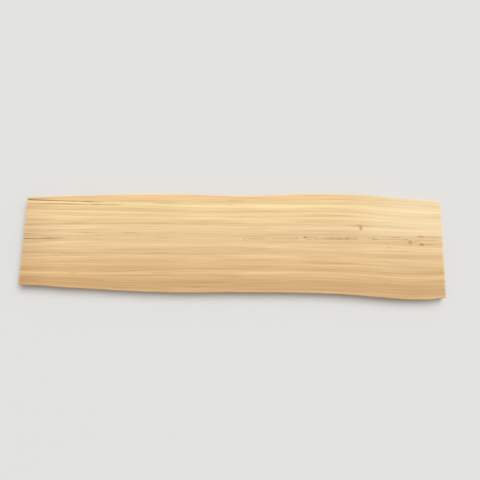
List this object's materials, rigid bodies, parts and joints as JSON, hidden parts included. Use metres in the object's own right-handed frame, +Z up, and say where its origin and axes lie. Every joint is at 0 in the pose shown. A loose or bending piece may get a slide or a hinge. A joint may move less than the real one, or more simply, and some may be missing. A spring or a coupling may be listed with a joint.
{
  "type": "live-edge timber plank",
  "caption": "Wide softwood plank sawn from one log, with planed faces, natural live edges on both long sides and square-cut ends.",
  "frame": {"origin": "middle of the plank's bounding box, on the floor that its underside rests on", "axes": "+X along the plank, away from the checked end; +Y across it; +Z up out of the show face"},
  "size_m": [2, 0.505, 0.045],
  "materials": {
    "softwood": "satin"
  },
  "bodies": {
    "root": {"plank": "softwood"}
  },
  "joints": []
}
